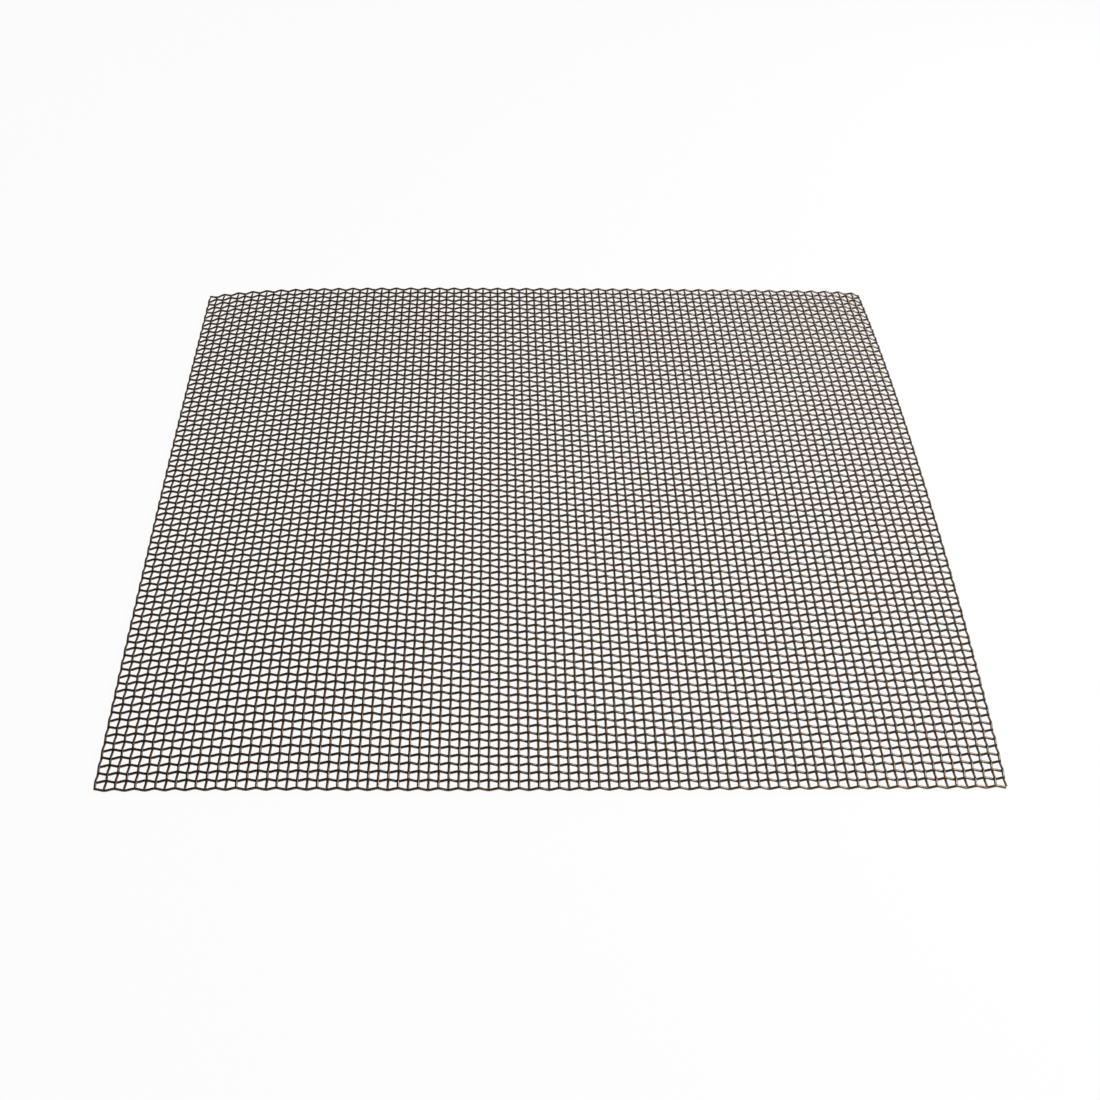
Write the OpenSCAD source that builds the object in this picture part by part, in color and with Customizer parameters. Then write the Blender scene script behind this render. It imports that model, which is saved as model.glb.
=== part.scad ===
// Square of woven wire gauze, lying bowed with its front and back edges down.
// X runs across the sheet, Y runs from its front edge to its back edge, Z is up.

/* [Sheet] */
// Width of the sheet, over the cut ends of the weft wires
sheet_w = 127; // [90:1:160]
// Depth of the sheet as it lies, from its front edge to its back edge
sheet_d = 127; // [90:1:160]
// Height that the middle of the sheet bows up above its front and back edges
bow_h = 3; // [1:0.5:6]

/* [Wires] */
// Diameter of every wire
wire_d = 0.38; // [0.2:0.02:0.5]
// Number of warp wires, which run from the front edge to the back edge
warp_count = 92; // [60:1:110]
// Number of weft wires, which run from the left edge to the right edge, with the two edge wires
weft_count = 89; // [60:1:110]
// Length that each cut end of a weft wire runs on past the middle of the outermost warp wire
cut_end = 0.2; // [0.2:0.05:0.6]

/* [Seats] */
// Room left between a weft wire and the warp wires that it crosses
cross_room = 0.01; // [0.005:0.005:0.03]
// Thickness of metal that each edge wire has above and below the warp wires that end in it
edge_cover = 0.02; // [0.01:0.01:0.05]

/* [Hidden] */
// Facets of a full turn, for previews: round a wire and round the bow's large radius
wire_fn = 24;
bow_fn = 720;

// Spacing of the warp wires, and thickness of the edge wires
warp_pitch = (sheet_w - 2 * cut_end) / (warp_count - 1);
edge_t = wire_d + 2 * edge_cover;

// The bow is an arc about a line along X. The warp wires lie on it, the weft wires just outside it.
warp_r = (pow(sheet_d / 2, 2) + pow(bow_h, 2)) / (2 * bow_h);
weft_r = warp_r + wire_d + cross_room;

// Angles on that arc: from the crown to the sheet's edge, across half an edge wire,
// from the crown to the middle of an edge wire, and from one weft wire to the next
end_angle = asin(sheet_d / 2 / warp_r);
half_edge = asin(edge_t / 2 / warp_r);
edge_angle = end_angle - half_edge;
weft_step = 2 * edge_angle / (weft_count - 1);

// Height of the arc's centre, which sets the sheet's edges down at zero
centre_z = -(warp_r - edge_t / 2) * cos(end_angle);

// Bends a section, drawn as radius and place along X, round the bow from one angle to another
module along_bow(from, to)
    translate([0, 0, centre_z])
        rotate([0, -90, 0])
            rotate([0, 0, from])
                rotate_extrude(angle = to - from, $fn = bow_fn)
                    children();

// The warp wires and the front and back edge wires that they end in: one wall, open between its wires
module warp_wires()
    color("dimgray") {
        along_bow(-edge_angle, edge_angle)
            for (i = [0 : warp_count - 1])
                translate([warp_r, (i - (warp_count - 1) / 2) * warp_pitch])
                    circle(d = wire_d, $fn = wire_fn);
        for (angle = [-edge_angle, edge_angle])
            along_bow(angle - half_edge, angle + half_edge)
                translate([warp_r - edge_t / 2, -sheet_w / 2])
                    square([edge_t, sheet_w]);
    }

// The weft wires between the edge wires, which cross the wall as ridges
module weft_wires()
    color("gray")
        for (i = [1 : weft_count - 2], angle = i * weft_step - edge_angle)
            translate([0, weft_r * sin(angle), centre_z + weft_r * cos(angle)])
                rotate([0, 90, 0])
                    cylinder(d = wire_d, h = sheet_w, center = true, $fn = wire_fn);

warp_wires();
weft_wires();
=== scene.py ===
"""Wire gauze: a square of plain-woven iron wire with cut edges, lying on a pale floor."""

import math

import bmesh
import bpy
from mathutils import Matrix, Vector


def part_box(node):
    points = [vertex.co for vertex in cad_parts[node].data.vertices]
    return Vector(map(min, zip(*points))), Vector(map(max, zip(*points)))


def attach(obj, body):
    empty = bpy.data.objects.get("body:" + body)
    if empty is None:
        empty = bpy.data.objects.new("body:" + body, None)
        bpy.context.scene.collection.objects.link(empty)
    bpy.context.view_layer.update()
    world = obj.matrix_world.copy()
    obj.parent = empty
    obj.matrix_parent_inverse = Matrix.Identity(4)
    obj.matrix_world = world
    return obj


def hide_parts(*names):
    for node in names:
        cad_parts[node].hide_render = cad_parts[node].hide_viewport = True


bl_info = {
    "name": "Wire Gauze",
    "version": (1, 0, 0),
    "blender": (4, 5, 0),
    "location": "View3D > Sidebar > Gauze",
    "description": "Weaves a square of wire gauze and sets it on a pale floor",
    "category": "Add Mesh",
}

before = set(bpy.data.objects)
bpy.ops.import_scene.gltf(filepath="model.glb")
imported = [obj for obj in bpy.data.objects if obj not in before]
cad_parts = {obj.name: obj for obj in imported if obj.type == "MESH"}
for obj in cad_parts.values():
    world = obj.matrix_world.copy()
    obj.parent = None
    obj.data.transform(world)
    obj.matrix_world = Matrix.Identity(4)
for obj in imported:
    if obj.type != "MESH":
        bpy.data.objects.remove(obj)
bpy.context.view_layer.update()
WALL_LOW, WALL_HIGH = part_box("warp_wires")

# Sides of a wire, and rings along it between one crossing and the next
WIRE_SIDES = 6
RINGS_PER_STEP = 4

# Each set of wires is made in this many pieces
PIECES_PER_SET = 4

# Places on the sheet are shares of half its width and half its depth, counted from its middle.
# The swells: where one has its crest, and how far it is from there to the next hollow
SWELL_CREST = -0.4
SWELL_LENGTH = 0.75

# The low hump: its place, the same to the left as to the front, and how far it spreads
HUMP_PLACE = -0.65
HUMP_SPREAD = 0.3

# How closely each change of shape keeps to its own edge or corner: a higher power keeps closer
DROOP_POWER = 8
LEFT_CORNER_POWER = 12
RIGHT_CORNER_POWER = 40
CROWD_POWER = 20
BACK_POWER = 4

# How far the pressed left corner moves sideways, as a share of how far it moves to the front
CORNER_SIDE_SHARE = 0.24

# How fine the lines on the wire are, round it and along it
LINES_ROUND = 30000
LINES_ALONG = 1500

# Sides of the round floor, and the share of its look that is plain white and takes no shadow
FLOOR_SIDES = 64
FLOOR_WHITE_SHARE = 0.96


# Properties

class GauzeSheet(bpy.types.PropertyGroup):
    """Sizes of the sheet, its wires and the way it lies"""

    width: bpy.props.FloatProperty(
        name="Width", description="Width over the outermost warp wires",
        default=WALL_HIGH[0] - WALL_LOW[0], unit="LENGTH")
    depth: bpy.props.FloatProperty(
        name="Depth", description="Depth over the front and back edge wires",
        default=2 * WALL_HIGH[1], unit="LENGTH")
    wire_d: bpy.props.FloatProperty(
        name="Wire", description="Diameter of every wire",
        default=0.00039, precision=5, unit="LENGTH")
    warp_count: bpy.props.IntProperty(
        name="Warp wires", description="Wires that run from front to back", default=92)
    weft_count: bpy.props.IntProperty(
        name="Weft wires", description="Wires that run from left to right", default=89)
    weft_left: bpy.props.FloatProperty(
        name="Left ends",
        description="How far a weft wire runs on past the middle of the first warp wire",
        default=0.00002, precision=5, unit="LENGTH")
    weft_right: bpy.props.FloatProperty(
        name="Right ends",
        description="How far a weft wire runs on past the middle of the last warp wire",
        default=0.00004, precision=5, unit="LENGTH")
    warp_end: bpy.props.FloatProperty(
        name="Warp ends",
        description="How far a warp wire runs on past the middle of the edge wire",
        default=-0.00016, precision=5, unit="LENGTH")
    cut_lean: bpy.props.FloatProperty(
        name="Cut lean", description="How far the cuts lean to the front over the wires on top",
        default=0.00016, precision=5, unit="LENGTH")
    warp_crimp: bpy.props.FloatProperty(
        name="Warp crimp", description="How far a warp wire swings to each side of the sheet",
        default=0.000195, precision=6, unit="LENGTH")
    weft_crimp: bpy.props.FloatProperty(
        name="Weft crimp", description="How far a weft wire swings to each side of the sheet",
        default=0.000195, precision=6, unit="LENGTH")
    crimp_edge: bpy.props.FloatProperty(
        name="Crimp edge",
        description="How sharply a wire bends at a crossing and how straight it runs between",
        default=0.07, subtype="FACTOR", min=0, max=0.1)
    lift: bpy.props.FloatProperty(
        name="Lift", description="Height of the sheet's middle at the corners that it rests on",
        default=0.00039, precision=5, unit="LENGTH")
    tilt: bpy.props.FloatProperty(
        name="Tilt", description="How much higher the left corners stand than the right ones",
        default=0.0002, precision=5, unit="LENGTH")
    bow: bpy.props.FloatProperty(
        name="Bow", description="Height that the sheet bows up between its front and back edges",
        default=0.0012, precision=5, unit="LENGTH")
    crown: bpy.props.FloatProperty(
        name="Crown", description="Height that the sheet bows up between its left and right edges",
        default=0.0008, precision=5, unit="LENGTH")
    swell: bpy.props.FloatProperty(
        name="Swell", description="Height of the shallow swells that cross the sheet",
        default=0.0007, precision=5, unit="LENGTH")
    swell_front: bpy.props.FloatProperty(
        name="Swell at front",
        description="How much the swells gain towards the front and lose towards the back",
        default=0.0003, precision=5, unit="LENGTH")
    droop: bpy.props.FloatProperty(
        name="Left droop", description="How far the left edge hangs down from the bow",
        default=0.0005, precision=5, unit="LENGTH")
    twist: bpy.props.FloatProperty(
        name="Twist", description="How far the sheet is wrung between its corners",
        default=0.0007, precision=5, unit="LENGTH")
    hump: bpy.props.FloatProperty(
        name="Hump", description="Height of the low hump near the front left corner",
        default=0.0010, precision=5, unit="LENGTH")
    bulge: bpy.props.FloatProperty(
        name="Right bulge", description="How far the right edge bulges outwards",
        default=0.0006, precision=5, unit="LENGTH")
    crowd: bpy.props.FloatProperty(
        name="Crowding",
        description="How far the last warp wires are pushed in at the back right corner",
        default=0.0009, precision=5, unit="LENGTH")
    left_corner: bpy.props.FloatProperty(
        name="Left corner",
        description="How far the back left corner is pressed in towards the front",
        default=0.0030, precision=5, unit="LENGTH")
    right_corner: bpy.props.FloatProperty(
        name="Right corner",
        description="How far the back right corner is pressed in towards the front",
        default=0.0010, precision=5, unit="LENGTH")
    weft_bend: bpy.props.FloatProperty(
        name="Weft bend", description="How far the weft wires bend to the front halfway along",
        default=0.0008, precision=5, unit="LENGTH")


class GauzeFinish(bpy.types.PropertyGroup):
    """Colours of the wire"""

    dark: bpy.props.FloatVectorProperty(
        name="Dark iron", description="Iron in the lines that drawing left on the wire",
        default=(0.115, 0.068, 0.035), subtype="COLOR", min=0, max=1)
    bright: bpy.props.FloatVectorProperty(
        name="Bright iron", description="Iron between those lines",
        default=(0.168, 0.112, 0.068), subtype="COLOR", min=0, max=1)
    oxide: bpy.props.FloatVectorProperty(
        name="Oxide", description="Thin brown film that lies on parts of the sheet",
        default=(0.133, 0.071, 0.033), subtype="COLOR", min=0, max=1)


class GauzeStage(bpy.types.PropertyGroup):
    """Floor, lamps and camera"""

    floor: bpy.props.FloatVectorProperty(
        name="Floor", description="Colour of the floor and of the low backdrop round it",
        default=(0.92, 0.92, 0.92), subtype="COLOR", min=0, max=1)
    floor_reach: bpy.props.FloatProperty(
        name="Floor reach", description="How far the floor runs from the sheet to the backdrop",
        default=4, unit="LENGTH")
    backdrop: bpy.props.FloatProperty(
        name="Backdrop", description="Height of the backdrop at the end of the floor",
        default=0.32, unit="LENGTH")
    lamp_power: bpy.props.FloatProperty(
        name="Lamp", description="Power of the lamp at the right", default=0.58, unit="POWER")
    lamp_place: bpy.props.FloatVectorProperty(
        name="Lamp place", description="Where the lamp hangs, to the right of the sheet",
        default=(0.170, -0.060, 0.170), subtype="TRANSLATION")
    back_power: bpy.props.FloatProperty(
        name="Back lamp", description="Power of the lamp at the back", default=0.22, unit="POWER")
    back_place: bpy.props.FloatVectorProperty(
        name="Back lamp place",
        description="Where the second lamp hangs, behind the sheet on the right",
        default=(0.170, 0.130, 0.090), subtype="TRANSLATION")
    lamp_size: bpy.props.FloatProperty(
        name="Lamp size", description="Side of each lamp's soft face", default=0.11, unit="LENGTH")
    lamp_color: bpy.props.FloatVectorProperty(
        name="Lamp colour", description="Colour of the lamps, a cool white",
        default=(0.92, 0.95, 1.0), subtype="COLOR", min=0, max=1)
    room_color: bpy.props.FloatVectorProperty(
        name="Room colour", description="Colour of the light from all round, a warm white",
        default=(1.0, 0.72, 0.50), subtype="COLOR", min=0, max=1)
    room_light: bpy.props.FloatProperty(
        name="Room light", description="Light that comes evenly from all round", default=0.012)
    camera_place: bpy.props.FloatVectorProperty(
        name="Camera place", description="Where the camera stands",
        default=(-0.00809, -0.22207, 0.18342), subtype="TRANSLATION")
    camera_turn: bpy.props.FloatVectorProperty(
        name="Camera turn", description="How the camera is turned",
        default=(math.radians(48.880), math.radians(-1.153), math.radians(-1.388)), subtype="EULER")
    lens: bpy.props.FloatProperty(
        name="Lens", description="Focal length on a 36 mm film", default=56.685)


# Materials

def add_socket(group, name, kind, way):
    """Gives a node group a named input or output."""
    return group.interface.new_socket(name=name, in_out=way, socket_type=kind)


def drawn_iron_group():
    """Builds the surface of drawn wire: fine lines along it and a thin brown film in patches."""
    group = bpy.data.node_groups.get("drawn_iron")
    if group:
        return group
    group = bpy.data.node_groups.new("drawn_iron", "ShaderNodeTree")
    add_socket(group, "Along Wire", "NodeSocketVector", "INPUT")
    add_socket(group, "Place", "NodeSocketVector", "INPUT")
    add_socket(group, "Dark", "NodeSocketColor", "INPUT")
    add_socket(group, "Bright", "NodeSocketColor", "INPUT")
    add_socket(group, "Oxide", "NodeSocketColor", "INPUT")
    add_socket(group, "Color", "NodeSocketColor", "OUTPUT")
    add_socket(group, "Roughness", "NodeSocketFloat", "OUTPUT")
    add_socket(group, "Lines", "NodeSocketFloat", "OUTPUT")
    nodes, links = group.nodes, group.links
    given = nodes.new("NodeGroupInput")
    result = nodes.new("NodeGroupOutput")

    lines = nodes.new("ShaderNodeTexNoise")
    lines.inputs["Scale"].default_value = 1.0
    lines.inputs["Detail"].default_value = 3.0
    links.new(given.outputs["Along Wire"], lines.inputs["Vector"])

    patches = nodes.new("ShaderNodeTexNoise")
    patches.inputs["Scale"].default_value = 70.0
    patches.inputs["Detail"].default_value = 5.0
    links.new(given.outputs["Place"], patches.inputs["Vector"])

    line_mask = nodes.new("ShaderNodeMapRange")
    line_mask.inputs["From Min"].default_value = 0.35
    line_mask.inputs["From Max"].default_value = 0.65
    links.new(lines.outputs["Fac"], line_mask.inputs["Value"])

    film_mask = nodes.new("ShaderNodeMapRange")
    film_mask.inputs["From Min"].default_value = 0.45
    film_mask.inputs["From Max"].default_value = 0.70
    film_mask.inputs["To Max"].default_value = 0.7
    links.new(patches.outputs["Fac"], film_mask.inputs["Value"])

    iron = nodes.new("ShaderNodeMix")
    iron.data_type = "RGBA"
    links.new(line_mask.outputs["Result"], iron.inputs["Factor"])
    links.new(given.outputs["Dark"], iron.inputs["A"])
    links.new(given.outputs["Bright"], iron.inputs["B"])

    film = nodes.new("ShaderNodeMix")
    film.data_type = "RGBA"
    links.new(film_mask.outputs["Result"], film.inputs["Factor"])
    links.new(iron.outputs["Result"], film.inputs["A"])
    links.new(given.outputs["Oxide"], film.inputs["B"])

    dullness = nodes.new("ShaderNodeMapRange")
    dullness.inputs["To Min"].default_value = 0.28
    dullness.inputs["To Max"].default_value = 0.40
    links.new(film_mask.outputs["Result"], dullness.inputs["Value"])

    links.new(film.outputs["Result"], result.inputs["Color"])
    links.new(dullness.outputs["Result"], result.inputs["Roughness"])
    links.new(lines.outputs["Fac"], result.inputs["Lines"])
    return group


def iron_material(name, stretch, finish):
    """Iron wire under a thin film of oxide, whose fine lines run along the wires of one set."""
    material = bpy.data.materials.new(name)
    material.use_nodes = True
    nodes, links = material.node_tree.nodes, material.node_tree.links
    shader = nodes["Principled BSDF"]
    shader.inputs["Metallic"].default_value = 0.60
    shader.inputs["IOR"].default_value = 2.0

    place = nodes.new("ShaderNodeTexCoord")
    along = nodes.new("ShaderNodeMapping")
    along.inputs["Scale"].default_value = stretch
    links.new(place.outputs["Object"], along.inputs["Vector"])

    surface = nodes.new("ShaderNodeGroup")
    surface.node_tree = drawn_iron_group()
    surface.inputs["Dark"].default_value = (*finish.dark, 1)
    surface.inputs["Bright"].default_value = (*finish.bright, 1)
    surface.inputs["Oxide"].default_value = (*finish.oxide, 1)
    links.new(along.outputs["Vector"], surface.inputs["Along Wire"])
    links.new(place.outputs["Object"], surface.inputs["Place"])

    relief = nodes.new("ShaderNodeBump")
    relief.inputs["Strength"].default_value = 0.05
    relief.inputs["Distance"].default_value = 0.00002
    links.new(surface.outputs["Lines"], relief.inputs["Height"])

    links.new(surface.outputs["Color"], shader.inputs["Base Color"])
    links.new(surface.outputs["Roughness"], shader.inputs["Roughness"])
    links.new(relief.outputs["Normal"], shader.inputs["Normal"])
    return material


def floor_material(color):
    """Pale floor that reads as white and still takes the shadow of the gauze."""
    material = bpy.data.materials.new("pale_floor")
    material.use_nodes = True
    nodes, links = material.node_tree.nodes, material.node_tree.links
    nodes.clear()
    out = nodes.new("ShaderNodeOutputMaterial")
    paint = nodes.new("ShaderNodeBsdfDiffuse")
    paint.inputs["Color"].default_value = (*color, 1)
    glow = nodes.new("ShaderNodeEmission")
    glow.inputs["Strength"].default_value = 1.0
    rays = nodes.new("ShaderNodeLightPath")
    seen = nodes.new("ShaderNodeMath")
    seen.operation = "MAXIMUM"
    links.new(rays.outputs["Is Camera Ray"], seen.inputs[0])
    links.new(rays.outputs["Is Glossy Ray"], seen.inputs[1])
    seen_through = nodes.new("ShaderNodeMath")
    seen_through.operation = "MAXIMUM"
    links.new(seen.outputs[0], seen_through.inputs[0])
    links.new(rays.outputs["Is Transmission Ray"], seen_through.inputs[1])
    share = nodes.new("ShaderNodeMath")
    share.operation = "MULTIPLY"
    share.inputs[1].default_value = FLOOR_WHITE_SHARE
    links.new(seen_through.outputs[0], share.inputs[0])
    mix = nodes.new("ShaderNodeMixShader")
    links.new(share.outputs[0], mix.inputs["Fac"])
    links.new(paint.outputs["BSDF"], mix.inputs[1])
    links.new(glow.outputs["Emission"], mix.inputs[2])
    links.new(mix.outputs["Shader"], out.inputs["Surface"])
    return material


# Weaving

def sheet_height(u, v, sheet):
    """Height of the sheet's middle at a place on it."""
    left = (1 - u) / 2
    base = sheet.lift + sheet.tilt * left + sheet.crown * (1 - u ** 2)
    rise = (sheet.bow - sheet.droop * left ** DROOP_POWER + sheet.twist * u * v) * (1 - v ** 2)
    waves = math.cos(math.pi * (u - SWELL_CREST) / SWELL_LENGTH) * (1 - v ** 4)
    swell = (sheet.swell - sheet.swell_front * v) * waves
    from_hump = ((u - HUMP_PLACE) ** 2 + (v - HUMP_PLACE) ** 2) / HUMP_SPREAD ** 2
    return base + rise + swell + sheet.hump * math.exp(-from_hump)


def sheet_place(u, v, sheet):
    """How far the weave is drawn out of square at a place, to the right and to the back."""
    right = (1 + u) / 2
    back = (1 + v) / 2
    left_in = sheet.left_corner * (1 - right) ** LEFT_CORNER_POWER * back ** BACK_POWER
    right_in = sheet.right_corner * right ** RIGHT_CORNER_POWER * back ** BACK_POWER
    bulge = sheet.bulge * right ** 2 * (1 - v ** 2)
    crowd = sheet.crowd * right ** CROWD_POWER * back ** 2
    bend = sheet.weft_bend * (0.5 - u ** 2)
    return bulge - crowd + CORNER_SIDE_SHARE * left_in, -bend - left_in - right_in


def straight_wire(length, radius, rings):
    """A straight round wire that lies along X, with rings at even steps between its cut ends."""
    bm = bmesh.new()
    bmesh.ops.create_cone(
        bm, cap_ends=True, segments=WIRE_SIDES, radius1=radius, radius2=radius, depth=length,
        matrix=Matrix.Rotation(math.radians(90), 4, "Y"))
    long_edges = [edge for edge in bm.edges if edge.calc_length() > length / 2]
    for face in bm.faces:
        face.smooth = len(face.verts) == 4
    for edge in bm.edges:
        edge.smooth = edge in long_edges
    bmesh.ops.subdivide_edges(bm, edges=long_edges, cuts=rings)
    mesh = bpy.data.meshes.new("straight_wire")
    bm.to_mesh(mesh)
    bm.free()
    return mesh


def wire_places(count, reach):
    """Even places from one edge to the other."""
    return [reach * (2 * i / (count - 1) - 1) for i in range(count)]


def weave_piece(name, sheet, wires, is_warp, material):
    """Lays some wires of one set side by side and bends each over and under the other set."""
    half_w = (sheet.width - sheet.wire_d) / 2
    half_d = (sheet.depth - sheet.wire_d) / 2
    if is_warp:
        count, steps, reach, side = sheet.warp_count, sheet.weft_count - 1, half_d, half_w
        crimp, turn = sheet.warp_crimp, -1
        first, last, lean = sheet.warp_end, sheet.warp_end, sheet.cut_lean
    else:
        count, steps, reach, side = sheet.weft_count, sheet.warp_count - 1, half_w, half_d
        crimp, turn = sheet.weft_crimp, 1
        first, last, lean = sheet.weft_left, sheet.weft_right, 0
    pitch = 2 * reach / steps
    template = straight_wire(2 * reach, sheet.wire_d / 2, steps * RINGS_PER_STEP - 1)
    places = wire_places(count, side)
    end_ring = reach - pitch / (2 * RINGS_PER_STEP)
    edge = sheet.crimp_edge

    bm = bmesh.new()
    for number in wires:
        before = len(bm.verts)
        bm.from_mesh(template)
        bm.verts.ensure_lookup_table()
        side_up = turn * (-1) ** number
        low = -reach - first - lean * side_up
        high = reach + last - lean * side_up * (-1) ** steps
        for vert in bm.verts[before:]:
            along, across, up = vert.co
            if abs(along) > end_ring:
                along = low if along < 0 else high
            phase = math.pi * (along + reach) / pitch
            rise = side_up * crimp * (math.cos(phase) + edge * math.cos(3 * phase)) / (1 + edge)
            steep = math.sin(phase) + 3 * edge * math.sin(3 * phase)
            slope = -side_up * crimp * math.pi / pitch * steep / (1 + edge)
            length = math.hypot(1, slope)
            along -= slope / length * up
            up = rise + up / length
            across += places[number]
            x, y = (across, along) if is_warp else (along, across)
            u, v = x / half_w, y / half_d
            shift_x, shift_y = sheet_place(u, v, sheet)
            vert.co = Vector((x + shift_x, y + shift_y, up + sheet_height(u, v, sheet)))
    bmesh.ops.recalc_face_normals(bm, faces=bm.faces)

    mesh = bpy.data.meshes.new(name)
    bm.to_mesh(mesh)
    bm.free()
    bpy.data.meshes.remove(template)
    mesh.materials.append(material)
    piece = bpy.data.objects.new(name, mesh)
    bpy.context.collection.objects.link(piece)
    return piece


def weave_set(node, count, is_warp, stretch, context):
    """Makes one set of wires in a few pieces that stand for the part's own node."""
    sheet = context.scene.gauze_sheet
    material = iron_material(node + "_iron", stretch, context.scene.gauze_finish)
    for number in range(PIECES_PER_SET):
        first = count * number // PIECES_PER_SET
        last = count * (number + 1) // PIECES_PER_SET
        name = "%s_%d" % (node, number + 1)
        piece = weave_piece(name, sheet, range(first, last), is_warp, material)
        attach(piece, "root")
        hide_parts(node)


# Lamps

def hang_lamp(name, power, place, stage):
    """A soft square lamp that faces the middle of the sheet."""
    data = bpy.data.lights.new(name, "AREA")
    data.energy = power
    data.size = stage.lamp_size
    data.color = stage.lamp_color
    lamp = bpy.data.objects.new(name, data)
    lamp.location = place
    lamp.rotation_euler = (-Vector(place)).to_track_quat("-Z", "Y").to_euler()
    bpy.context.collection.objects.link(lamp)


# Operators

class GAUZE_OT_warp_wires(bpy.types.Operator):
    """Weaves the wires that run from the front edge to the back edge"""

    bl_idname = "gauze.warp_wires"
    bl_label = "Warp Wires"

    def execute(self, context):
        stretch = (LINES_ROUND, LINES_ALONG, LINES_ROUND)
        weave_set("warp_wires", context.scene.gauze_sheet.warp_count, True, stretch, context)
        return {"FINISHED"}


class GAUZE_OT_weft_wires(bpy.types.Operator):
    """Weaves the wires that run from the left edge to the right edge"""

    bl_idname = "gauze.weft_wires"
    bl_label = "Weft Wires"

    def execute(self, context):
        stretch = (LINES_ALONG, LINES_ROUND, LINES_ROUND)
        weave_set("weft_wires", context.scene.gauze_sheet.weft_count, False, stretch, context)
        return {"FINISHED"}


class GAUZE_OT_stage(bpy.types.Operator):
    """Sets the floor, the lamps, the room light and the camera"""

    bl_idname = "gauze.stage"
    bl_label = "Stage"

    def execute(self, context):
        scene = context.scene
        stage = scene.gauze_stage

        bm = bmesh.new()
        bmesh.ops.create_circle(bm, cap_ends=True, segments=FLOOR_SIDES, radius=stage.floor_reach)
        rim = bmesh.ops.extrude_edge_only(bm, edges=bm.edges[:])["geom"]
        raised = [each for each in rim if isinstance(each, bmesh.types.BMVert)]
        bmesh.ops.translate(bm, vec=(0, 0, stage.backdrop), verts=raised)
        mesh = bpy.data.meshes.new("floor")
        bm.to_mesh(mesh)
        bm.free()
        mesh.materials.append(floor_material(stage.floor))
        floor = bpy.data.objects.new("floor", mesh)
        context.collection.objects.link(floor)

        hang_lamp("right_lamp", stage.lamp_power, stage.lamp_place, stage)
        hang_lamp("back_lamp", stage.back_power, stage.back_place, stage)

        world = bpy.data.worlds.new("room")
        world.use_nodes = True
        sky = world.node_tree.nodes["Background"]
        sky.inputs["Color"].default_value = (*stage.room_color, 1)
        sky.inputs["Strength"].default_value = stage.room_light
        scene.world = world

        camera_data = bpy.data.cameras.new("camera")
        camera_data.lens = stage.lens
        camera_data.sensor_width = 36
        camera_data.clip_start = 0.001
        camera = bpy.data.objects.new("camera", camera_data)
        camera.location = stage.camera_place
        camera.rotation_euler = stage.camera_turn
        context.collection.objects.link(camera)
        scene.camera = camera

        scene.view_settings.view_transform = "Standard"
        return {"FINISHED"}


# Panel

class GAUZE_PT_panel(bpy.types.Panel):
    """Lists the sizes, the finish and the steps of the gauze"""

    bl_idname = "GAUZE_PT_panel"
    bl_label = "Wire Gauze"
    bl_space_type = "VIEW_3D"
    bl_region_type = "UI"
    bl_category = "Gauze"

    def draw(self, context):
        scene = context.scene
        for group in (scene.gauze_sheet, scene.gauze_finish, scene.gauze_stage):
            column = self.layout.column()
            for name in group.__annotations__:
                column.prop(group, name)
        for operator in OPERATORS:
            self.layout.operator(operator.bl_idname)


OPERATORS = (GAUZE_OT_warp_wires, GAUZE_OT_weft_wires, GAUZE_OT_stage)
CLASSES = (GauzeSheet, GauzeFinish, GauzeStage, *OPERATORS, GAUZE_PT_panel)


def register():
    for each in CLASSES:
        bpy.utils.register_class(each)
    bpy.types.Scene.gauze_sheet = bpy.props.PointerProperty(type=GauzeSheet)
    bpy.types.Scene.gauze_finish = bpy.props.PointerProperty(type=GauzeFinish)
    bpy.types.Scene.gauze_stage = bpy.props.PointerProperty(type=GauzeStage)


def unregister():
    del bpy.types.Scene.gauze_stage
    del bpy.types.Scene.gauze_finish
    del bpy.types.Scene.gauze_sheet
    for each in reversed(CLASSES):
        bpy.utils.unregister_class(each)


def main():
    register()
    bpy.ops.gauze.warp_wires()
    bpy.ops.gauze.weft_wires()
    bpy.ops.gauze.stage()


if __name__ == "__main__":
    main()
